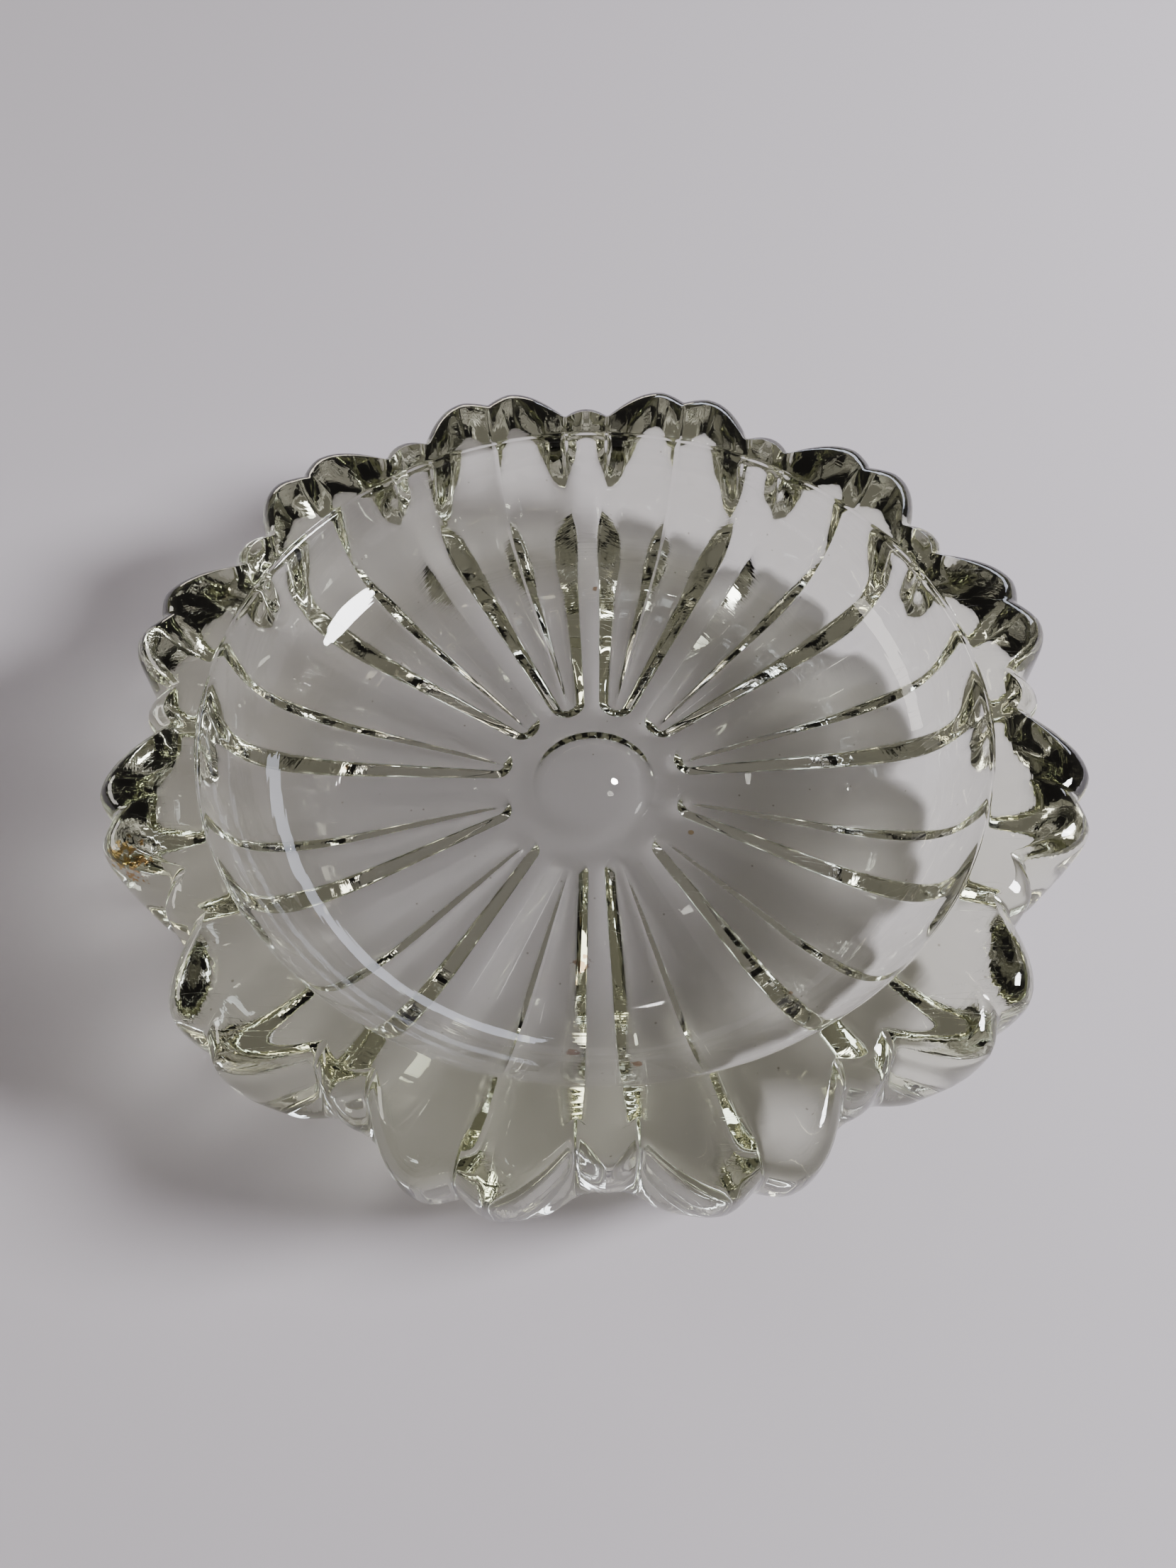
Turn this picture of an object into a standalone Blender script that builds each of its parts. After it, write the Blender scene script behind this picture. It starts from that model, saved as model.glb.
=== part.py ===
"""Pressed clear-glass bowl: a round cavity in a thick twelve-petal body, pressed in one piece.

Twelve narrow ribs end in small scallops at the rim. Between them lie twelve broad petals with
rounded flanks, each ending in a pair of lobes. The bowl stands on the flat faces of the petals,
and the ribs, the hub and the dished disc at the centre lie back from them.
One thirty-degree sector is modelled as a closed strip of faces and spun twelve times.
"""

import math

import bmesh
import bpy
from mathutils import Matrix, Vector

# Driving dimensions, in metres. The origin is the centre of the base, +Z is up.
RIB_COUNT = 12
HEIGHT = 0.0320
SCALLOP_RADIUS = 0.0750
LOBE_RADIUS = 0.0815
NOTCH_RADIUS = 0.0793
VALLEY_RADIUS = 0.0726
CAVITY_RADIUS = 0.0650
CAVITY_FLOOR_RADIUS = 0.0440
FLOOR_THICKNESS = 0.0080
EDGE_ROUND = 0.0007
RIM_BULGE = 0.0007
# The share of that bulge that is left over the ribs.
LEAST_SWELL = 0.3
LIP_HEIGHT = 0.0046
LIP_INSET = 0.0030
BASE_RADIUS = 0.0600
PETAL_TIP_RADIUS = 0.0158
PETAL_TIP_CORNER = 0.0028
TIP_RECESS = 0.0018
RIB_RECESS = 0.0040
CREASE_DEPTH = 0.0020
CREASE_START = 0.0025
DISC_RADIUS = 0.0116
DISC_RISE = 0.0013
DISC_SLOPE_WIDTH = 0.0045
# Widths in plan at a petal's tip and at its outer bend.
RIB_HALF_WIDTHS = (0.0013, 0.0023)
FLANK_WIDTHS = (0.0023, 0.0054)
# How sharply flanks and creases turn in to the petal's face: 1 is a plain bevel.
TURN_IN_POWER = 1.2
# The rim's outline has given way to the petals' flanks this far down the outer wall.
OUTLINE_FADE = 0.6
# The petals' outer wall bends round these points between the lip and the base: radius, height.
WALL_BENDS = ((0.0825, 0.0080), (0.0760, 0.0002))

# The cavity's wall is a quarter ellipse whose centre is this far above the rim, for mould draft.
WALL_CENTRE_RISE = 0.0040
# Angles from a rib's centre line, in degrees.
VALLEY_ANGLE = 3.6
LOBE_ANGLE = 11.6
CREASE_HALF_ANGLE = 3.0
NOTCH_POWER = 1.4
HALF_SECTOR_ANGLE = 180.0 / RIB_COUNT
HALF_SECTOR_STATIONS = (0.0, 2.3, 3.6, 4.9, 6.4, 8.6, 10.9, 12.0, 13.5, HALF_SECTOR_ANGLE)

# Stations along each stretch of the section: fractions of its length, or radii.
WALL_TURNS = (0.0, 0.25, 0.45, 0.62, 0.77, 0.89, 1.0)
OUTSIDE_STEPS = (0.12, 0.27, 0.42, 0.56, 0.7, 0.85, 1.0)
PETAL_ROWS = (0.0500, 0.0400, 0.0300, 0.0235, 0.0200, 0.0180, 0.0167, PETAL_TIP_RADIUS)
DISC_ROWS = (DISC_RADIUS, 0.0102, 0.0086, 0.0071)

WELD_DISTANCE = 1e-5
SHARP_ANGLE = 35.0

GLASS_COLOUR = (0.80, 0.84, 0.79, 1.0)
GLASS_ROUGHNESS = 0.03
GLASS_IOR = 1.52


def mix(first, second, weight):
    """The value that lies the given fraction of the way from first to second."""
    return first + (second - first) * weight


def ease(value):
    """Smooth step from 0 to 1."""
    value = min(max(value, 0.0), 1.0)
    return value * value * (3.0 - 2.0 * value)


def sector_stations():
    """Angles across one sector, from one rib's centre line to the next one's."""
    far_half = [2.0 * HALF_SECTOR_ANGLE - angle for angle in reversed(HALF_SECTOR_STATIONS[:-1])]
    return list(HALF_SECTOR_STATIONS) + far_half


def coarse_stations():
    """The few sector angles that the smooth cavity needs. Each is also a fine station."""
    middle = HALF_SECTOR_STATIONS[len(HALF_SECTOR_STATIONS) // 2]
    whole = 2.0 * HALF_SECTOR_ANGLE
    return [0.0, middle, HALF_SECTOR_ANGLE, whole - middle, whole]


def from_rib(angle):
    """The angle folded into one half sector, measured from the nearest rib's centre line."""
    return min(angle, 2.0 * HALF_SECTOR_ANGLE - angle)


def reach(angle):
    """How far the rim reaches out: the scallop, the valley beside it, the lobe and the notch."""
    folded = from_rib(angle)
    if folded <= VALLEY_ANGLE:
        return mix(SCALLOP_RADIUS, VALLEY_RADIUS, (folded / VALLEY_ANGLE) ** 2)
    if folded <= LOBE_ANGLE:
        share = (folded - VALLEY_ANGLE) / (LOBE_ANGLE - VALLEY_ANGLE)
        return mix(VALLEY_RADIUS, LOBE_RADIUS, math.sin(share * math.pi / 2))
    share = (folded - LOBE_ANGLE) / (HALF_SECTOR_ANGLE - LOBE_ANGLE)
    return mix(LOBE_RADIUS, NOTCH_RADIUS, share**NOTCH_POWER)


def swell(angle):
    """How much the rim's top bulges: fully on the lobes, least over the ribs and valleys."""
    return mix(LEAST_SWELL, 1.0, (reach(angle) - VALLEY_RADIUS) / (LOBE_RADIUS - VALLEY_RADIUS))


def outside_curve(share):
    """(radius, height) on the petals' outer wall, from the widest point down to the base."""
    points = ((LOBE_RADIUS, HEIGHT - LIP_HEIGHT), *WALL_BENDS, (BASE_RADIUS, 0.0))
    rest = 1.0 - share
    weights = (rest**3, 3 * rest**2 * share, 3 * rest * share**2, share**3)
    return tuple(sum(w * point[axis] for w, point in zip(weights, points)) for axis in (0, 1))


def outwards(radius):
    """0 at the petals' tips and 1 at their outer bend, and on past it."""
    return (radius - PETAL_TIP_RADIUS) / (BASE_RADIUS - PETAL_TIP_RADIUS)


def inside_petal(angle, radius):
    """Distance inside a petal's outline: its two straight edges and its tip with round corners."""
    half_width = mix(*RIB_HALF_WIDTHS, outwards(radius))
    from_edge = radius * math.sin(math.radians(from_rib(angle))) - half_width
    from_hub = radius - PETAL_TIP_RADIUS
    if max(from_edge, from_hub) >= PETAL_TIP_CORNER:
        return min(from_edge, from_hub)
    return PETAL_TIP_CORNER - math.hypot(PETAL_TIP_CORNER - from_edge, PETAL_TIP_CORNER - from_hub)


def set_back(angle, radius):
    """How far ribs, hub, flanks and creases lie behind the petals' faces."""
    share = min(max(outwards(radius), 0.0), 1.0)
    flank = mix(*FLANK_WIDTHS, share)
    short_of_face = 1.0 - min(max(inside_petal(angle, radius) / flank, 0.0), 1.0)
    across = (HALF_SECTOR_ANGLE - from_rib(angle)) / CREASE_HALF_ANGLE
    along = math.sqrt(min(max(outwards(radius - CREASE_START), 0.0), 1.0))
    groove = CREASE_DEPTH * max(1.0 - across, 0.0) ** TURN_IN_POWER * along
    return mix(TIP_RECESS, RIB_RECESS, share) * short_of_face**TURN_IN_POWER + groove


def floor_relief(angle, radius):
    """How far the underside lies above the surface that the bowl stands on."""
    short_of_dish = 1.0 - min(max((DISC_RADIUS - radius) / DISC_SLOPE_WIDTH, 0.0), 1.0)
    return set_back(angle, radius) + DISC_RISE * (1.0 - short_of_dish**2)


def cavity_rows():
    """(radius, height) down the section of the cavity, from its centre to its edge."""
    top = HEIGHT - RIM_BULGE
    centre_height = top + WALL_CENTRE_RISE
    drop = centre_height - FLOOR_THICKNESS
    last_turn = math.acos((WALL_CENTRE_RISE + EDGE_ROUND) / drop)
    width = (CAVITY_RADIUS - CAVITY_FLOOR_RADIUS) / math.sin(last_turn)
    rows = [(0.0, FLOOR_THICKNESS)]
    for share in WALL_TURNS[:-1]:
        turn = share * last_turn
        across = CAVITY_FLOOR_RADIUS + width * math.sin(turn)
        rows.append((across, centre_height - drop * math.cos(turn)))
    return rows


def outside_row(share):
    """A function of the angle: the outer wall this fraction of the way down to the base."""
    across, height = outside_curve(share)
    tilt = ease(share) * math.pi / 2

    def place(angle):
        at_rim = LOBE_RADIUS - reach(angle)
        depth = mix(at_rim, set_back(angle, across), ease(share / OUTLINE_FADE))
        return across - depth * math.cos(tilt), height + depth * math.sin(tilt)

    return place


def rim_rows():
    """Functions of the angle, from the cavity's edge over the rim to its widest line."""
    edge_height = HEIGHT - RIM_BULGE

    def over_top(share, lift):
        def place(angle):
            lip_edge = reach(angle) - LIP_INSET
            across = mix(CAVITY_RADIUS + EDGE_ROUND, lip_edge, share)
            return across, edge_height + lift * swell(angle)

        return place

    return [
        lambda angle: (CAVITY_RADIUS, edge_height - EDGE_ROUND),
        over_top(0.0, 0.0),
        over_top(0.5, RIM_BULGE),
        over_top(1.0, -RIM_BULGE),
        lambda angle: (reach(angle), HEIGHT - LIP_HEIGHT),
    ]


def base_rows():
    """Functions of the angle, along the underside from the petals' faces to the dished disc."""

    def at(radius):
        return lambda angle: (radius, floor_relief(angle, radius))

    return [at(radius) for radius in PETAL_ROWS + DISC_ROWS]


def add_row(mesh, place, angles):
    """One row of vertices across the sector."""
    row = []
    for angle in angles:
        radius, height = place(angle)
        turn = Matrix.Rotation(math.radians(angle), 3, "Z")
        row.append(mesh.verts.new(turn @ Vector((radius, 0.0, height))))
    return row


def join_rows(mesh, first, second):
    """Quads between two rows with the same angles."""
    for i in range(len(first) - 1):
        mesh.faces.new((first[i], second[i], second[i + 1], first[i + 1]))


def join_coarse_to_fine(mesh, coarse, fine, fine_angles):
    """Faces from the cavity's few vertices to the rim's many."""
    ends = [fine_angles.index(angle) for angle in coarse_stations()]
    for i in range(len(coarse) - 1):
        between = fine[ends[i] : ends[i + 1] + 1]
        mesh.faces.new([coarse[i], *between, coarse[i + 1]])


def close_centre(mesh, row, height, upward):
    """A fan from a row to a point on the axis."""
    centre = mesh.verts.new((0.0, 0.0, height))
    for i in range(len(row) - 1):
        corners = (centre, row[i], row[i + 1])
        mesh.faces.new(corners if upward else reversed(corners))


def add_sector(mesh):
    """One thirty-degree sector of the bowl's whole surface, open only along its two cuts."""
    angles = sector_stations()
    cavity = cavity_rows()
    coarse = [add_row(mesh, lambda _, point=point: point, coarse_stations()) for point in cavity[1:]]
    close_centre(mesh, coarse[0], cavity[0][1], upward=True)
    for first, second in zip(coarse, coarse[1:]):
        join_rows(mesh, first, second)
    places = rim_rows() + [outside_row(share) for share in OUTSIDE_STEPS] + base_rows()
    fine = [add_row(mesh, place, angles) for place in places]
    join_coarse_to_fine(mesh, coarse[-1], fine[0], angles)
    for first, second in zip(fine, fine[1:]):
        join_rows(mesh, first, second)
    close_centre(mesh, fine[-1], TIP_RECESS + DISC_RISE, upward=False)


def clear_glass():
    """Clear soda-lime glass with a faint grey-green cast."""
    material = bpy.data.materials.new("clear_glass")
    material.use_nodes = True
    shader = material.node_tree.nodes["Principled BSDF"]
    shader.inputs["Base Color"].default_value = GLASS_COLOUR
    shader.inputs["Roughness"].default_value = GLASS_ROUGHNESS
    shader.inputs["Metallic"].default_value = 0.0
    shader.inputs["IOR"].default_value = GLASS_IOR
    shader.inputs["Transmission Weight"].default_value = 1.0
    return material


def glass_bowl():
    """The whole bowl: the sector spun round the axis, welded, triangulated and shaded smooth."""
    mesh = bmesh.new()
    add_sector(mesh)
    bmesh.ops.spin(
        mesh,
        geom=mesh.verts[:] + mesh.edges[:] + mesh.faces[:],
        cent=(0.0, 0.0, 0.0),
        axis=(0.0, 0.0, 1.0),
        angle=2.0 * math.pi * (RIB_COUNT - 1) / RIB_COUNT,
        steps=RIB_COUNT - 1,
        use_duplicate=True,
    )
    bmesh.ops.remove_doubles(mesh, verts=mesh.verts, dist=WELD_DISTANCE)
    bmesh.ops.triangulate(mesh, faces=mesh.faces)
    bmesh.ops.recalc_face_normals(mesh, faces=mesh.faces)
    data = bpy.data.meshes.new("glass_bowl")
    mesh.to_mesh(data)
    mesh.free()
    data.materials.append(clear_glass())
    data.shade_smooth()
    data.set_sharp_from_angle(angle=math.radians(SHARP_ANGLE))
    bowl = bpy.data.objects.new("glass_bowl", data)
    bpy.context.scene.collection.objects.link(bowl)
    return bowl


def main():
    """Clears the scene and makes the bowl."""
    for obj in list(bpy.data.objects):
        bpy.data.objects.remove(obj)
    glass_bowl()


main()
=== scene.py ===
"""The pressed-glass bowl as it looks: one heavy piece of clear glass on a pale studio floor.

The bowl's whole skin is one closed surface, worked out as a grid of (row along the section,
angle round the axis). It replaces the frame's plain solid and keeps its size and place.
"""

import logging
import math
from dataclasses import dataclass, field
from enum import Enum
from typing import Callable
import bpy
import numpy as np
from mathutils import Matrix, Vector


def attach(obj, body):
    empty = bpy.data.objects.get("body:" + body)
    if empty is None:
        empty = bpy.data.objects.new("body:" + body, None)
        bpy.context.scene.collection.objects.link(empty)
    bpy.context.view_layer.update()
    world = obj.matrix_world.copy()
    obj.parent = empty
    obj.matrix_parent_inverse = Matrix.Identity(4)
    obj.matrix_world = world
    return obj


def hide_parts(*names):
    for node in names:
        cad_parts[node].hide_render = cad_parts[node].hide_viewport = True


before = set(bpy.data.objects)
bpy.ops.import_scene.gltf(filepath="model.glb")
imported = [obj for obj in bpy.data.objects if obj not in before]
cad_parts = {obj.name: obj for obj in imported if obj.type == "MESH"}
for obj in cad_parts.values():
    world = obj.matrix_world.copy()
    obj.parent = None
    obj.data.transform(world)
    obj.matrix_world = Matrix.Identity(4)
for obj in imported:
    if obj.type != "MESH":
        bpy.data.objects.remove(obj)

LOG = logging.getLogger("glass_bowl")
MM = 0.001
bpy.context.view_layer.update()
GLASS_NODE = "glass_bowl"
BOWL_MIDDLE = (0.0, 0.0, 20.0 * MM)
NOISE_ROUGHNESS = 0.55

Array = np.ndarray


def mix(first: Array | float, second: Array | float, weight: Array | float) -> Array:
    """The value the given fraction of the way from first to second."""
    return first + (second - first) * weight


def ease(value: Array | float) -> Array:
    """Smooth step: 0 below 0, 1 above 1, and 3v^2 - 2v^3 between."""
    value = np.clip(value, 0.0, 1.0)
    return value * value * (3.0 - 2.0 * value)


def smooth_max(first: Array, second: Array, blend: float) -> Array:
    """The larger of two, rounded where they cross.

    It is half of first + second + sqrt((first - second)^2 + blend^2) - blend.
    """
    return 0.5 * (first + second + np.sqrt((first - second) ** 2 + blend**2) - blend)


def spline(controls: list[tuple[Array, Array]], steps: int) -> tuple[Array, Array]:
    """A uniform cubic B-spline whose ends are clamped by tripling the end points.

    Args:
        controls: (radius, height) arrays over the angles, in order along the section.
        steps: rows in each span between neighbouring control points.

    Returns:
        Radius and height, each of shape (rows, angles).
    """
    around = np.broadcast_shapes(*(np.shape(value) for pair in controls for value in pair))
    ends = [controls[0]] * 2 + controls + [controls[-1]] * 2
    points = np.array([[np.broadcast_to(value, around) for value in pair] for pair in ends])
    t = np.arange(steps)[:, None, None] / steps
    basis = (
        (1 - t) ** 3 / 6,
        (3 * t**3 - 6 * t**2 + 4) / 6,
        (-3 * t**3 + 3 * t**2 + 3 * t + 1) / 6,
        t**3 / 6,
    )
    spans = [sum(b * points[i + k] for k, b in enumerate(basis)) for i in range(len(points) - 3)]
    rows = np.concatenate(spans + [points[-1][None]])
    return rows[:, 0], rows[:, 1]


@dataclass(frozen=True)
class CameraStand:
    """Where the camera stands: a short lens close above the near side of the bowl."""

    azimuth: float = -1.68
    elevation: float = 53.05
    distance: float = 180.75 * MM
    aim_height: float = 31.3 * MM
    roll: float = -0.35
    tilt: float = 4.647
    pan: float = 0.346
    lens: float = 24.95
    sensor: float = 36.0

    def orientation(self) -> tuple[Matrix, Vector]:
        """Camera axes and place in the world.

        The camera first looks at the rim's centre, then is rolled, panned and tilted.

        Returns:
            A 3x3 matrix whose columns are the camera's axes, and the camera's place.
        """
        azimuth, elevation = math.radians(self.azimuth), math.radians(self.elevation)
        back = Vector(
            (
                math.sin(azimuth) * math.cos(elevation),
                -math.cos(azimuth) * math.cos(elevation),
                math.sin(elevation),
            )
        )
        right = Vector((math.cos(azimuth), math.sin(azimuth), 0.0))
        looking = Matrix((right, back.cross(right), back)).transposed()
        roll = Matrix.Rotation(math.radians(self.roll), 3, "Z")
        pan = Matrix.Rotation(math.radians(-self.pan), 3, "Y")
        tilt = Matrix.Rotation(math.radians(self.tilt), 3, "X")
        place = Vector((0.0, 0.0, self.aim_height)) + back * self.distance
        return looking @ (tilt @ pan @ roll).transposed(), place

    def build(self) -> bpy.types.Object:
        """Makes the camera and hands it to the scene."""
        data = bpy.data.cameras.new("camera")
        data.lens = self.lens
        data.sensor_width = self.sensor
        data.clip_start = 1.0 * MM
        data.clip_end = 20.0
        camera = bpy.data.objects.new("camera", data)
        bpy.context.scene.collection.objects.link(camera)
        axes, place = self.orientation()
        camera.matrix_world = Matrix.Translation(place) @ axes.to_4x4()
        bpy.context.scene.camera = camera
        return camera


class Stretch(Enum):
    """The stretches of the bowl's section, in order from the cavity's centre to the base's."""

    CAVITY = "cavity"
    RIM_AND_WALL = "rim and outer wall"
    UNDERSIDE = "underside"


@dataclass
class BowlSkin:
    """The bowl's closed surface. Angles fold into one half sector, from a rib to a petal's axis.

    The petals stand proud all the way from the base to the rim. The ribs between them and the hub
    lie back, with sloping flanks, and near the rim each petal ends in a pair of lobes.
    """

    ribs: int = 12
    height: float = 32.0 * MM
    cavity_radius: float = 65.0 * MM
    cavity_floor_radius: float = 44.0 * MM
    floor_thickness: float = 8.0 * MM
    wall_centre_rise: float = 4.0 * MM
    edge_round: float = 0.7 * MM
    rim_bulge: float = 0.7 * MM
    least_swell: float = 0.15
    scallop_radius: float = 75.2 * MM
    lobe_radius: float = 81.45 * MM
    notch_radius: float = 79.3 * MM
    notch_power: float = 1.4
    valley_radius: float = 72.6 * MM
    valley_round: float = 0.5 * MM
    lip_inset: float = 3.0 * MM
    lip_height: float = 4.6 * MM
    lip_turn: float = 3.0 * MM
    base_radius: float = 60.0 * MM
    wall_bends: tuple[tuple[float, float], ...] = ((82.5 * MM, 8.0 * MM), (76.0 * MM, 0.2 * MM))
    outline_fade: float = 0.6
    tip_radius: float = 15.8 * MM
    tip_corner: float = 2.8 * MM
    tip_recess: float = 1.8 * MM
    rib_recess: float = 4.0 * MM
    rib_half_widths: tuple[float, float] = (1.3 * MM, 2.5 * MM)
    flank_widths: tuple[float, float] = (2.3 * MM, 5.4 * MM)
    flank_widening: float = 1.3
    turn_in_power: float = 1.2
    crease_depth: float = 2.0 * MM
    crease_half_angle: float = 3.0
    crease_start: float = 2.0 * MM
    disc_radius: float = 11.6 * MM
    disc_rise: float = 1.3 * MM
    disc_slope_width: float = 4.5 * MM
    lobe_angle: float = 11.6
    valley_angle: float = 3.6
    petal_start_angle: float = 3.3
    lowest_climb: float = -0.4
    half_stations: int = 24
    flank_angle: float = 4.6
    flank_spread: float = 2.2
    flank_crowding: float = 1.4
    crease_crowding: float = 1.2
    floor_rows: int = 8
    cavity_wall_rows: int = 26
    rows_per_span: int = 4
    wall_shares: tuple[float, ...] = (0.09, 0.18, 0.28, 0.39, 0.5, 0.62, 0.74, 0.87)
    around_tips: float = 22.0 * MM
    hub_ring: float = 15.4 * MM
    disc_margin: float = 0.1 * MM
    disc_flat: float = 6.8 * MM
    last_ring: float = 0.6 * MM
    underside_rows: tuple[int, ...] = (16, 20, 4, 14, 5)
    angles: Array = field(init=False)
    folded: Array = field(init=False)

    def __post_init__(self) -> None:
        """Spaces the stations round the axis, closer at the petals' flanks and creases.

        Their density is 1 plus a bell curve about the flank and one about the crease.
        """
        half = self.half_sector()
        dense = np.linspace(0.0, half, 2001)
        near_flank = np.exp(-(((dense - self.flank_angle) / self.flank_spread) ** 2))
        near_crease = np.exp(-((dense - half) ** 2))
        weight = 1.0 + self.flank_crowding * near_flank + self.crease_crowding * near_crease
        travelled = np.concatenate([[0.0], np.cumsum((weight[1:] + weight[:-1]) / 2)])
        stations = np.interp(
            np.linspace(0.0, travelled[-1], self.half_stations + 1), travelled, dense
        )
        sector = np.concatenate([stations[:-1], 2 * half - stations[:0:-1]])
        starts = np.repeat(np.arange(self.ribs) * 2 * half, len(sector))
        across = np.tile(sector, self.ribs)
        self.angles = np.radians(starts + across)
        self.folded = np.minimum(across, 2 * half - across)

    def half_sector(self) -> float:
        """Degrees from a rib's centre line to the middle of the petal beside it."""
        return 180.0 / self.ribs

    def reach(self) -> Array:
        """How far the rim reaches out at each angle.

        The scallop is a parabola about the rib. The petal is a rounded shoulder that rises as the
        sine of the way from the valley to the lobe, and dips into the notch on its axis. Where
        scallop and petal cross they make the valley, a little rounded.
        """
        drop = self.scallop_radius - self.valley_radius
        scallop = self.scallop_radius - drop * (self.folded / self.valley_angle) ** 2
        climb = (self.folded - self.petal_start_angle) / (self.lobe_angle - self.petal_start_angle)
        shoulder = np.sin(np.clip(climb, self.lowest_climb, 1.0) * math.pi / 2)
        petal = mix(self.valley_radius, self.lobe_radius, shoulder)
        past_lobe = (self.folded - self.lobe_angle) / (self.half_sector() - self.lobe_angle)
        dip = np.clip(past_lobe, 0.0, 1.0) ** self.notch_power
        petal = petal - (self.lobe_radius - self.notch_radius) * dip
        return smooth_max(scallop, petal, self.valley_round)

    def outwards(self, radius: Array) -> Array:
        """0 at the petals' tips and 1 at their outer bend, and on past it."""
        return (radius - self.tip_radius) / (self.base_radius - self.tip_radius)

    def rib_half_width(self, radius: Array) -> Array:
        """Half the width of a rib's flat: it widens slowly over the base and up the wall."""
        share = (radius - self.tip_radius) / (self.valley_radius - self.tip_radius)
        return mix(*self.rib_half_widths, share)

    def flank_width(self, radius: Array) -> Array:
        """Width in plan of the flank from a rib's edge to the petal's face.

        It widens from the petals' tips to a little way up the outer wall, then stays.
        """
        return mix(*self.flank_widths, np.clip(self.outwards(radius), 0.0, self.flank_widening))

    def petal_share(self, radius: Array) -> Array:
        """0 on ribs and hub and 1 on a petal's face, rising as 1 - (1 - d / width)^power between.

        The distance d inside a petal's outline is taken from the rib's edge and from the hub's
        circle, with a round corner where they meet: corner - hypot(corner - a, corner - b).
        """
        from_edge = radius * np.sin(np.radians(self.folded)) - self.rib_half_width(radius)
        from_hub = radius - self.tip_radius
        corner = self.tip_corner
        gap_a = np.maximum(corner - from_edge, 0.0)
        gap_b = np.maximum(corner - from_hub, 0.0)
        inside = np.minimum(from_edge, from_hub)
        inside = np.where((gap_a > 0) & (gap_b > 0), corner - np.hypot(gap_a, gap_b), inside)
        share = np.clip(inside / self.flank_width(radius), 0.0, 1.0)
        return 1.0 - (1.0 - share) ** self.turn_in_power

    def crease(self, radius: Array) -> Array:
        """The fold between a petal's two lobes: a V that deepens as the root of the way out."""
        across = (self.half_sector() - self.folded) / self.crease_half_angle
        groove = self.crease_depth * np.clip(1.0 - across, 0.0, 1.0) ** self.turn_in_power
        return groove * np.sqrt(np.clip(self.outwards(radius - self.crease_start), 0.0, 1.0))

    def set_back(self, radius: Array) -> Array:
        """How far the surface lies behind the petals' faces, on ribs, flanks and creases."""
        recess = mix(self.tip_recess, self.rib_recess, np.clip(self.outwards(radius), 0.0, 1.0))
        return recess * (1.0 - self.petal_share(radius)) + self.crease(radius)

    def relief(self, radius: Array) -> Array:
        """Height of the underside above the table.

        The petals' faces lie at 0 and the ribs and hub above them. The disc rises a little more,
        as 1 - (1 - d / width)^2 of the distance d inside its edge.
        """
        share = np.clip((self.disc_radius - radius) / self.disc_slope_width, 0.0, 1.0)
        return self.set_back(radius) + self.disc_rise * (1.0 - (1.0 - share) ** 2)

    def cavity(self) -> tuple[Array, Array]:
        """The inside: a flat floor, then a quarter ellipse whose centre lies above the rim.

        radius = floor radius + width sin(turn), height = centre height - drop cos(turn).
        """
        top = self.height - self.rim_bulge
        centre_height = top + self.wall_centre_rise
        drop = centre_height - self.floor_thickness
        last_turn = math.acos((self.wall_centre_rise + self.edge_round) / drop)
        width = (self.cavity_radius - self.cavity_floor_radius) / math.sin(last_turn)
        floor = np.linspace(0.0, self.cavity_floor_radius, self.floor_rows)[1:-1]
        level = np.full(len(floor), self.floor_thickness)
        turn = np.linspace(0.0, last_turn, self.cavity_wall_rows)
        radius = np.concatenate([floor, self.cavity_floor_radius + width * np.sin(turn)])
        height = np.concatenate([level, centre_height - drop * np.cos(turn)])
        ones = np.ones(len(self.angles))
        return radius[:, None] * ones, height[:, None] * ones

    def petal_curve(self, share: float) -> tuple[float, float]:
        """(radius, height) down a petal's outer face: a cubic Bezier from the lip to the base."""
        lip = (self.lobe_radius, self.height - self.lip_height)
        points = (lip, *self.wall_bends, (self.base_radius, 0.0))
        rest = 1.0 - share
        weights = (rest**3, 3 * rest**2 * share, 3 * rest * share**2, share**3)
        return tuple(sum(w * p[axis] for w, p in zip(weights, points)) for axis in (0, 1))

    def rim_and_wall(self) -> tuple[Array, Array]:
        """Over the rim, round the lip and down the fluted outer wall, as one B-spline section.

        Down the wall each control point lies square behind the petals' curve by a depth that
        passes from the rim outline's to the flanks' and creases'.
        """
        reach = self.reach()
        edge = self.height - self.rim_bulge
        petal = ease((reach - self.valley_radius) / (self.lobe_radius - self.valley_radius))
        swell = self.rim_bulge * mix(self.least_swell, 1.0, petal)
        inner = self.cavity_radius
        lip = reach - self.lip_inset
        controls = [
            (inner, edge - self.edge_round),  # the cavity's wall ends
            (inner + 0.05 * MM, edge - 0.05 * MM),  # its edge, a little rounded
            (inner + 0.5 * MM, edge),
            (mix(inner, reach, 0.35), edge + 0.9 * swell),  # the swell of the rim
            (mix(inner, reach, 0.62), edge + swell),
            (lip - 0.9 * MM, edge + 0.5 * swell),
            (mix(lip, reach, 0.38), edge - 0.7 * MM),  # over the lip
            (reach - 0.5 * MM, self.height - self.lip_turn),
            (reach + 0.05 * MM, self.height - self.lip_height),  # the widest place
        ]
        for share in self.wall_shares:
            across, height = self.petal_curve(share)
            tilt = ease(share) * math.pi / 2
            fade = ease(share / self.outline_fade)
            depth = mix(self.lobe_radius - reach, self.set_back(across), fade)
            controls.append((across - depth * np.cos(tilt), height + depth * np.sin(tilt)))
        controls.append((self.base_radius, self.relief(self.base_radius)))
        return spline(controls, self.rows_per_span)

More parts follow.
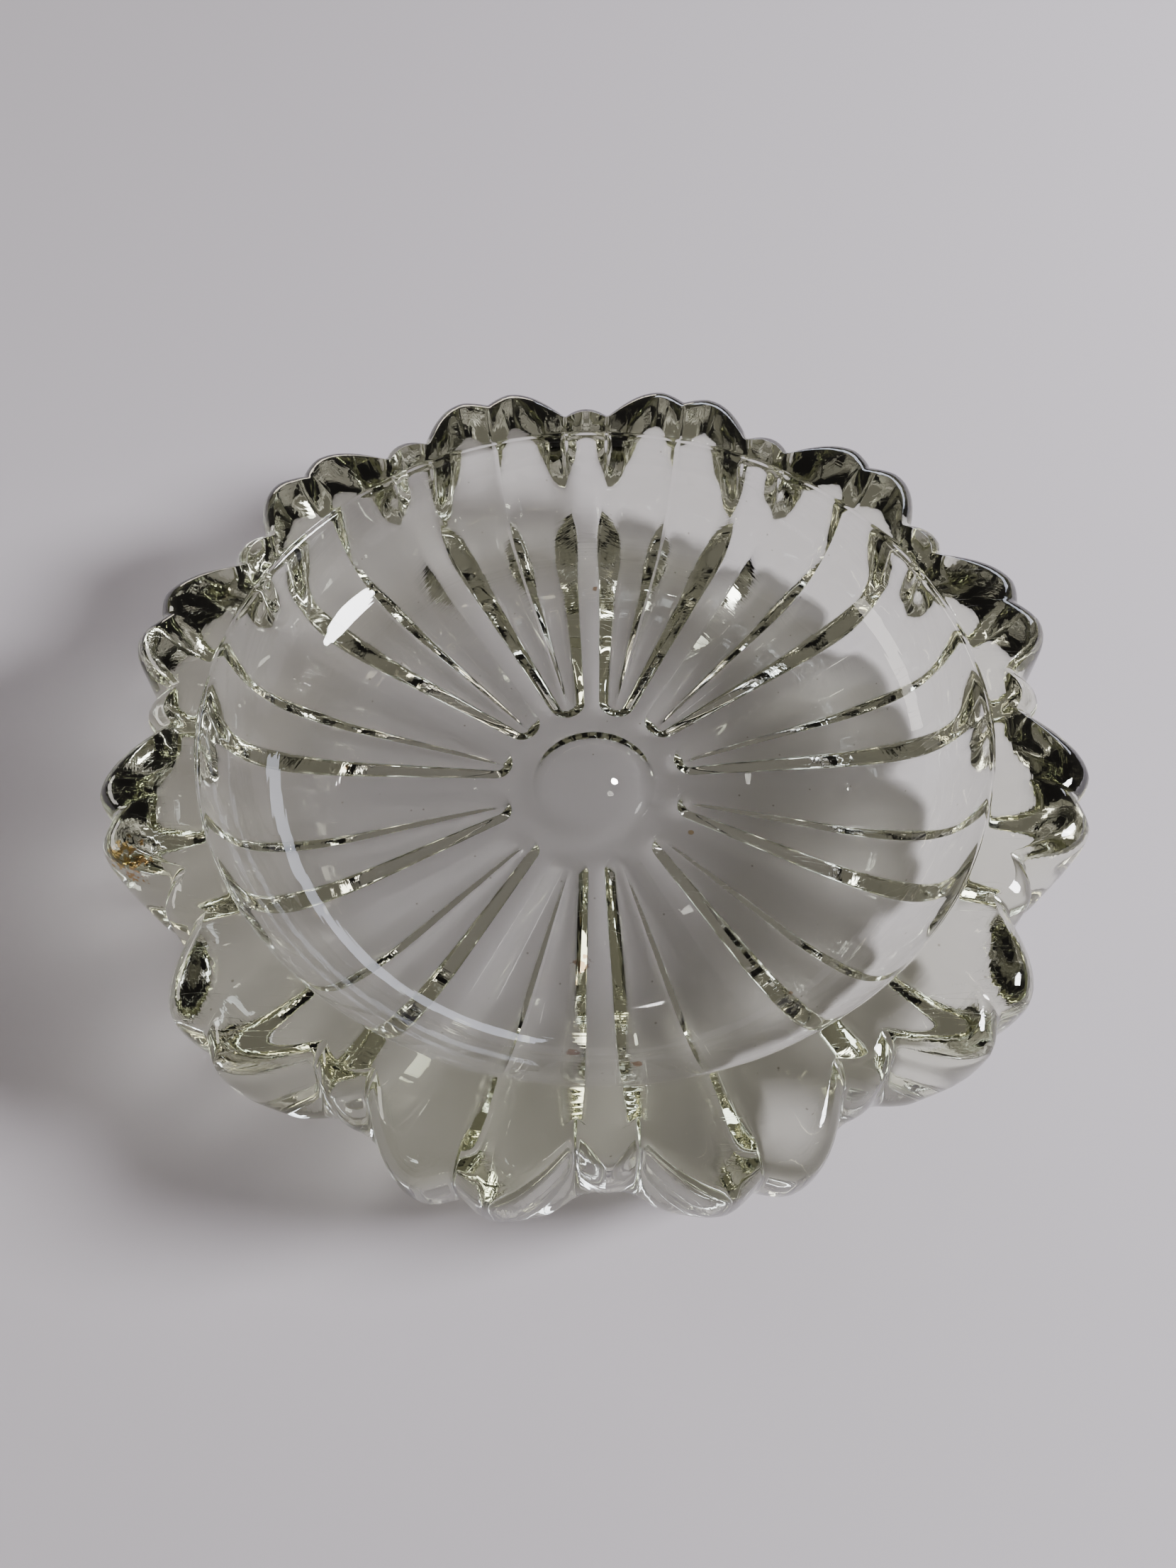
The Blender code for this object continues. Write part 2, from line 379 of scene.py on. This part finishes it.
    def underside(self) -> tuple[Array, Array]:
        """The base, from the petals' outer bend inwards over the hub and the disc.

        Each row keeps one radius, and the rows lie closest at the petals' tips and the disc's edge.
        """
        ends = (
            self.base_radius,
            self.around_tips,
            self.hub_ring,
            self.disc_radius + self.disc_margin,
            self.disc_flat,
            self.last_ring,
        )
        stretches = zip(ends, ends[1:], self.underside_rows)
        rows = [np.linspace(start, end, count + 1)[1:] for start, end, count in stretches]
        radius = np.concatenate(rows)[:, None] * np.ones(len(self.angles))
        return radius, self.relief(radius)

    def mesh(self) -> bpy.types.Mesh:
        """Joins the stretches into one grid, closed at both poles, with faces outwards."""
        makers: dict[Stretch, Callable[[], tuple[Array, Array]]] = {
            Stretch.CAVITY: self.cavity,
            Stretch.RIM_AND_WALL: self.rim_and_wall,
            Stretch.UNDERSIDE: self.underside,
        }
        grids = {stretch: makers[stretch]() for stretch in Stretch}
        for stretch, grid in grids.items():
            LOG.info("%s: %d rows", stretch.value, len(grid[0]))
        radius = np.concatenate([grids[s][0] for s in Stretch])
        height = np.concatenate([grids[s][1] for s in Stretch])
        return closed_grid("glass_bowl_skin", radius, height, self.angles)


def closed_grid(name: str, radius: Array, height: Array, angles: Array) -> bpy.types.Mesh:
    """A mesh from a grid of radius and height over rows and angles, with a point at each pole."""
    rows, around = radius.shape
    grid = np.stack([radius * np.cos(angles), radius * np.sin(angles), height], axis=-1)
    poles = np.array([[0.0, 0.0, height[0].mean()], [0.0, 0.0, height[-1].mean()]])
    points = np.concatenate([grid.reshape(-1, 3), poles])
    index = np.arange(rows * around).reshape(rows, around)
    beside = np.roll(index, -1, axis=1)
    quads = np.stack([index[:-1], index[1:], beside[1:], beside[:-1]], axis=-1).reshape(-1, 4)
    top = np.stack([np.full(around, rows * around), index[0], beside[0]], axis=-1)
    bottom = np.stack([np.full(around, rows * around + 1), beside[-1], index[-1]], axis=-1)
    mesh = bpy.data.meshes.new(name)
    mesh.from_pydata(points, [], quads.tolist() + top.tolist() + bottom.tolist())
    mesh.polygons.foreach_set("use_smooth", np.ones(len(mesh.polygons), bool))
    mesh.update()
    return mesh


class Wiring:
    """Adds nodes to one node tree and joins them up."""

    def __init__(self, tree: bpy.types.NodeTree) -> None:
        """Keeps the tree."""
        self.tree = tree

    def add(self, kind: str, inputs: dict[str | int, object], **settings: object) -> bpy.types.Node:
        """Makes a node, applies its settings and fills its inputs.

        Args:
            kind: the node's type name.
            inputs: for each input socket, a plain value or the output socket that feeds it.
            **settings: the node's own properties, such as its operation.

        Returns:
            The new node.
        """
        node = self.tree.nodes.new(kind)
        for name, value in settings.items():
            setattr(node, name, value)
        for socket, value in inputs.items():
            if isinstance(value, bpy.types.NodeSocket):
                self.tree.links.new(value, node.inputs[socket])
            else:
                node.inputs[socket].default_value = value
        return node

    def math(self, operation: str, first: object, second: object = 0.0) -> bpy.types.NodeSocket:
        """One arithmetic step on one or two values."""
        return self.add("ShaderNodeMath", {0: first, 1: second}, operation=operation).outputs[0]

    def noise(self, vector: object, scale: float, detail: float = 2.0) -> bpy.types.NodeSocket:
        """Soft noise between 0 and 1."""
        inputs = {"Vector": vector, "Scale": scale, "Detail": detail, "Roughness": NOISE_ROUGHNESS}
        return self.add("ShaderNodeTexNoise", inputs).outputs[0]

    def ramp(
        self, value: object, low: float, high: float, start: float, end: float
    ) -> bpy.types.NodeSocket:
        """Carries low..high over to start..end with a smooth step."""
        inputs = {"Value": value, "From Min": low, "From Max": high, "To Min": start, "To Max": end}
        node = self.add("ShaderNodeMapRange", inputs, interpolation_type="SMOOTHSTEP")
        return node.outputs["Result"]

    def blend(self, weight: object, first: object, second: object) -> bpy.types.NodeSocket:
        """Mixes two colours by a weight."""
        node = self.tree.nodes.new("ShaderNodeMix")
        node.data_type = "RGBA"
        sockets = (node.inputs["Factor"], node.inputs[6], node.inputs[7])
        for socket, value in zip(sockets, (weight, first, second)):
            if isinstance(value, bpy.types.NodeSocket):
                self.tree.links.new(value, socket)
            else:
                socket.default_value = value
        return node.outputs[2]


@dataclass(frozen=True)
class Stain:
    """A ragged patch of dried residue or a speck of dirt on the glass."""

    place: tuple[float, float, float]
    radius: float
    colour: tuple[float, float, float, float]
    raggedness: float

    def mask(
        self, wiring: Wiring, place: bpy.types.NodeSocket, edge: bpy.types.NodeSocket
    ) -> bpy.types.NodeSocket:
        """Nearly 1 well inside the stain and 0 outside, with noise added to the distance.

        Args:
            wiring: the material's nodes.
            place: the point on the glass.
            edge: fine noise about zero, which makes the outline ragged.

        Returns:
            How strongly the stain covers the glass.
        """
        whole, gone = 0.45, 0.72
        strongest = 0.95
        edge_reach = 3.2 * self.raggedness
        apart = {0: place, 1: self.place}
        away = wiring.add("ShaderNodeVectorMath", apart, operation="DISTANCE").outputs["Value"]
        share = wiring.math("DIVIDE", away, self.radius)
        ragged = wiring.math("ADD", share, wiring.math("MULTIPLY", edge, edge_reach))
        return wiring.ramp(ragged, whole, gone, strongest, 0.0)


@dataclass(frozen=True)
class ClearGlass:
    """Fire-polished pressed glass with a faint olive-grey cast in its thick parts.

    Its surface has the slow waves of the mould, fine turned ripples round the axis, hairline
    scratches, smudges of handling, dust, and a few brown stains. Pairs named for noise or an edge
    are the values between which an effect comes or goes.
    """

    colour: tuple[float, float, float, float] = (0.985, 0.985, 0.975, 1.0)
    dust_colour: tuple[float, float, float, float] = (0.50, 0.47, 0.42, 1.0)
    cast: tuple[float, float, float, float] = (0.60, 0.64, 0.30, 1.0)
    cast_density: float = 11.0
    ior: float = 1.52
    polish: float = 0.004
    smudged: float = 0.05
    smudge_scale: float = 42.0
    smudge_noise: tuple[float, float] = (0.56, 0.72)
    wave_scale: float = 55.0
    wave_height: float = 0.07 * MM
    outer_wave_scale: float = 150.0
    outer_wave_height: float = 0.10 * MM
    outer_waves: tuple[float, float] = (66.0 * MM, 71.0 * MM)
    ripple_scale: float = 60.0
    ripple_stretch: float = 24.0
    ripple_height: float = 0.022 * MM
    ripples: tuple[float, float] = (36.0 * MM, 46.0 * MM)
    scratch_scale: float = 60.0
    scratch_turn: float = 0.6
    scratch_stretch: tuple[float, float, float] = (1.0, 9.0, 3.0)
    scratch_half_width: float = 0.006
    scratch_depth: float = 0.004 * MM
    scratch_patch_scale: float = 30.0
    scratch_patch_noise: tuple[float, float] = (0.52, 0.60)
    dust_scale: float = 330.0
    dust_edge: tuple[float, float] = (0.05, 0.09)
    dust_chosen: tuple[float, float] = (0.72, 0.74)
    stain_edge_scale: float = 900.0
    stains: tuple[Stain, ...] = (
        Stain((-71.0 * MM, -29.6 * MM, 30.6 * MM), 3.4 * MM, (0.62, 0.20, 0.01, 1.0), 1.3),
        Stain((-72.4 * MM, -27.6 * MM, 30.2 * MM), 2.6 * MM, (0.70, 0.34, 0.05, 1.0), 1.3),
        Stain((16.9 * MM, -13.1 * MM, 8.0 * MM), 0.8 * MM, (0.45, 0.25, 0.06, 1.0), 0.4),
        Stain((1.2 * MM, 44.9 * MM, 8.0 * MM), 0.9 * MM, (0.35, 0.16, 0.05, 1.0), 0.5),
        Stain((-3.0 * MM, -37.8 * MM, 8.0 * MM), 1.9 * MM, (0.30, 0.12, 0.07, 1.0), 0.8),
        Stain((-4.6 * MM, -53.6 * MM, 11.1 * MM), 1.4 * MM, (0.30, 0.13, 0.08, 1.0), 0.8),
        Stain((5.3 * MM, -56.5 * MM, 13.4 * MM), 1.2 * MM, (0.34, 0.15, 0.08, 1.0), 0.8),
        Stain((30.5 * MM, -44.7 * MM, 11.2 * MM), 0.8 * MM, (0.42, 0.22, 0.08, 1.0), 0.6),
        Stain((-45.5 * MM, 2.0 * MM, 8.1 * MM), 0.7 * MM, (0.42, 0.24, 0.10, 1.0), 0.6),
    )

    def height(self, wiring: Wiring, place: bpy.types.NodeSocket) -> bpy.types.NodeSocket:
        """Surface height in metres.

        Args:
            wiring: the material's nodes.
            place: the point on the glass.

        Returns:
            The sum of slow waves, stronger waves on the outer wall, turned ripples and scratches.
        """
        split = wiring.add("ShaderNodeSeparateXYZ", {0: place}).outputs
        squares = [wiring.math("POWER", split[axis], 2.0) for axis in (0, 1)]
        across = wiring.math("SQRT", wiring.math("ADD", *squares))
        waves = wiring.math("MULTIPLY", wiring.noise(place, self.wave_scale, 1.0), self.wave_height)
        outside = wiring.ramp(across, *self.outer_waves, 0.0, self.outer_wave_height)
        outer = wiring.math("MULTIPLY", wiring.noise(place, self.outer_wave_scale, 1.0), outside)
        slow = wiring.math("ADD", waves, outer)
        fine = wiring.math(
            "ADD", self.turned_ripples(wiring, across, split), self.scratches(wiring, place)
        )
        return wiring.math("ADD", slow, fine)

    def turned_ripples(
        self, wiring: Wiring, across: bpy.types.NodeSocket, split: object
    ) -> bpy.types.NodeSocket:
        """Noise that changes quickly across the cavity's wall and slowly round it."""
        stretched = wiring.math("MULTIPLY", across, self.ripple_stretch)
        turned = wiring.add("ShaderNodeCombineXYZ", {0: stretched, 1: split[0], 2: split[1]})
        on_wall = wiring.ramp(across, *self.ripples, 0.0, self.ripple_height)
        ripple = wiring.noise(turned.outputs[0], self.ripple_scale, 1.0)
        return wiring.math("MULTIPLY", ripple, on_wall)

    def scratches(self, wiring: Wiring, place: bpy.types.NodeSocket) -> bpy.types.NodeSocket:
        """Hairlines where stretched noise crosses its middle value, in scattered patches."""
        turn = (0.0, 0.0, self.scratch_turn)
        stretch = {"Vector": place, "Rotation": turn, "Scale": self.scratch_stretch}
        hair = wiring.add("ShaderNodeMapping", stretch).outputs[0]
        middle = wiring.math("SUBTRACT", wiring.noise(hair, self.scratch_scale, 1.0), 0.5)
        ridge = wiring.math("ABSOLUTE", middle)
        lines = wiring.ramp(ridge, 0.0, self.scratch_half_width, -self.scratch_depth, 0.0)
        patches = wiring.noise(place, self.scratch_patch_scale, 0.0)
        scattered = wiring.ramp(patches, *self.scratch_patch_noise, 0.0, 1.0)
        return wiring.math("MULTIPLY", lines, scattered)

    def surface_colour(self, wiring: Wiring, place: bpy.types.NodeSocket) -> bpy.types.NodeSocket:
        """Clear glass, then dust in a few of the scattered dots, then the stains.

        Args:
            wiring: the material's nodes.
            place: the point on the glass.

        Returns:
            The colour that tints what passes through the surface.
        """
        dots = wiring.add("ShaderNodeTexVoronoi", {"Vector": place, "Scale": self.dust_scale})
        chosen = wiring.add("ShaderNodeSeparateColor", {0: dots.outputs["Color"]}).outputs[0]
        speck = wiring.ramp(dots.outputs["Distance"], *self.dust_edge, 1.0, 0.0)
        dust = wiring.math("MULTIPLY", speck, wiring.ramp(chosen, *self.dust_chosen, 0.0, 1.0))
        colour = wiring.blend(dust, self.colour, self.dust_colour)
        edge = wiring.math("SUBTRACT", wiring.noise(place, self.stain_edge_scale, 2.0), 0.5)
        for stain in self.stains:
            colour = wiring.blend(stain.mask(wiring, place, edge), colour, stain.colour)
        return colour

    def build(self) -> bpy.types.Material:
        """Makes the material."""
        material = bpy.data.materials.new("clear_pressed_glass")
        material.use_nodes = True
        wiring = Wiring(material.node_tree)
        nodes, links = material.node_tree.nodes, material.node_tree.links
        shader = nodes["Principled BSDF"]
        place = wiring.add("ShaderNodeTexCoord", {}).outputs["Object"]
        handled = wiring.noise(place, self.smudge_scale, 3.0)
        smudges = wiring.ramp(handled, *self.smudge_noise, self.polish, self.smudged)
        relief = {"Height": self.height(wiring, place), "Distance": 1.0, "Strength": 1.0}
        bump = wiring.add("ShaderNodeBump", relief)
        links.new(self.surface_colour(wiring, place), shader.inputs["Base Color"])
        links.new(smudges, shader.inputs["Roughness"])
        links.new(bump.outputs["Normal"], shader.inputs["Normal"])
        shader.inputs["Transmission Weight"].default_value = 1.0
        shader.inputs["Metallic"].default_value = 0.0
        shader.inputs["IOR"].default_value = self.ior
        tint = {"Color": self.cast, "Density": self.cast_density}
        cast = wiring.add("ShaderNodeVolumeAbsorption", tint)
        links.new(cast.outputs["Volume"], nodes["Material Output"].inputs["Volume"])
        return material


@dataclass
class PressedBowl:
    """The bowl itself, which stands for the frame's plain solid."""

    skin: BowlSkin = field(default_factory=BowlSkin)
    finish: ClearGlass = field(default_factory=ClearGlass)

    def build(self) -> bpy.types.Object:
        """Builds the skin, dresses it and ties it to the frame."""
        mesh = self.skin.mesh()
        mesh.materials.append(self.finish.build())
        bowl = bpy.data.objects.new("pressed_glass_bowl", mesh)
        bpy.context.scene.collection.objects.link(bowl)
        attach(bowl, "root")
        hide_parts(GLASS_NODE)
        LOG.info("pressed_glass_bowl: %d faces", len(mesh.polygons))
        return bowl


class LampFace(Enum):
    """The outline of a soft light."""

    RECTANGLE = "RECTANGLE"
    ELLIPSE = "ELLIPSE"


@dataclass(frozen=True)
class Lamp:
    """A soft light that faces the middle of the bowl. Places and sizes are in metres."""

    name: str
    place: tuple[float, float, float]
    size: tuple[float, float]
    watts: float
    colour: tuple[float, float, float]
    face: LampFace = LampFace.RECTANGLE

    def build(self) -> None:
        """Makes the light and turns it towards the bowl."""
        data = bpy.data.lights.new(self.name, "AREA")
        data.shape = self.face.value
        data.size, data.size_y = self.size
        data.energy = self.watts
        data.color = self.colour
        lamp = bpy.data.objects.new(self.name, data)
        lamp.location = self.place
        towards = Vector(BOWL_MIDDLE) - Vector(self.place)
        lamp.rotation_euler = towards.to_track_quat("-Z", "Y").to_euler()
        bpy.context.scene.collection.objects.link(lamp)


@dataclass(frozen=True)
class Studio:
    """A pale floor under a dim, even surround, lit by a window-like light and softer panels."""

    floor_size: float = 3.0
    floor_drop: float = 0.2 * MM
    floor_colour: tuple[float, float, float, float] = (0.62, 0.58, 0.62, 1.0)
    floor_roughness: float = 0.9
    floor_specular: float = 0.2
    surround: tuple[float, float, float, float] = (0.37, 0.345, 0.31, 1.0)
    surround_strength: float = 0.44
    lamps: tuple[Lamp, ...] = (
        Lamp(
            name="window",
            place=(1.05, -0.10, 0.62),
            size=(0.40, 0.32),
            watts=29.0,
            colour=(0.97, 0.97, 1.0),
            face=LampFace.ELLIPSE,
        ),
        Lamp("sky_strip", (0.68, 1.16, 0.40), (1.3, 0.25), 7.5, (0.80, 0.84, 1.0)),
        Lamp(
            name="ceiling",
            place=(0.048, 0.74, 1.18),
            size=(0.010, 0.009),
            watts=0.07,
            colour=(1.0, 0.97, 0.92),
            face=LampFace.ELLIPSE,
        ),
        Lamp("left_panel", (-1.35, 0.30, 0.30), (0.9, 0.26), 5.0, (1.0, 0.95, 0.88)),
        Lamp("low_panel", (-0.45, 1.5, 0.16), (1.2, 0.22), 6.0, (1.0, 0.90, 0.76)),
    )

    def floor(self) -> None:
        """A large square floor that the bowl stands on."""
        half = self.floor_size / 2
        mesh = bpy.data.meshes.new("floor")
        corners = [(-half, -half, 0.0), (half, -half, 0.0), (half, half, 0.0), (-half, half, 0.0)]
        mesh.from_pydata(corners, [], [(0, 1, 2, 3)])
        material = bpy.data.materials.new("floor")
        material.use_nodes = True
        shader = material.node_tree.nodes["Principled BSDF"]
        shader.inputs["Base Color"].default_value = self.floor_colour
        shader.inputs["Roughness"].default_value = self.floor_roughness
        shader.inputs["Specular IOR Level"].default_value = self.floor_specular
        mesh.materials.append(material)
        floor = bpy.data.objects.new("floor", mesh)
        floor.location.z = -self.floor_drop
        bpy.context.scene.collection.objects.link(floor)

    def build(self) -> None:
        """Makes the floor, the surround and the lamps."""
        self.floor()
        world = bpy.data.worlds.new("surround")
        bpy.context.scene.world = world
        world.use_nodes = True
        background = world.node_tree.nodes["Background"]
        background.inputs["Color"].default_value = self.surround
        background.inputs["Strength"].default_value = self.surround_strength
        for lamp in self.lamps:
            lamp.build()
        LOG.info("studio: floor and %d lamps", len(self.lamps))


def main() -> None:
    """Builds the camera, the studio and the bowl, in that order."""
    logging.basicConfig(level=logging.INFO, format="%(name)s %(message)s")
    CameraStand().build()
    Studio().build()
    PressedBowl().build()


if __name__ == "__main__":
    main()
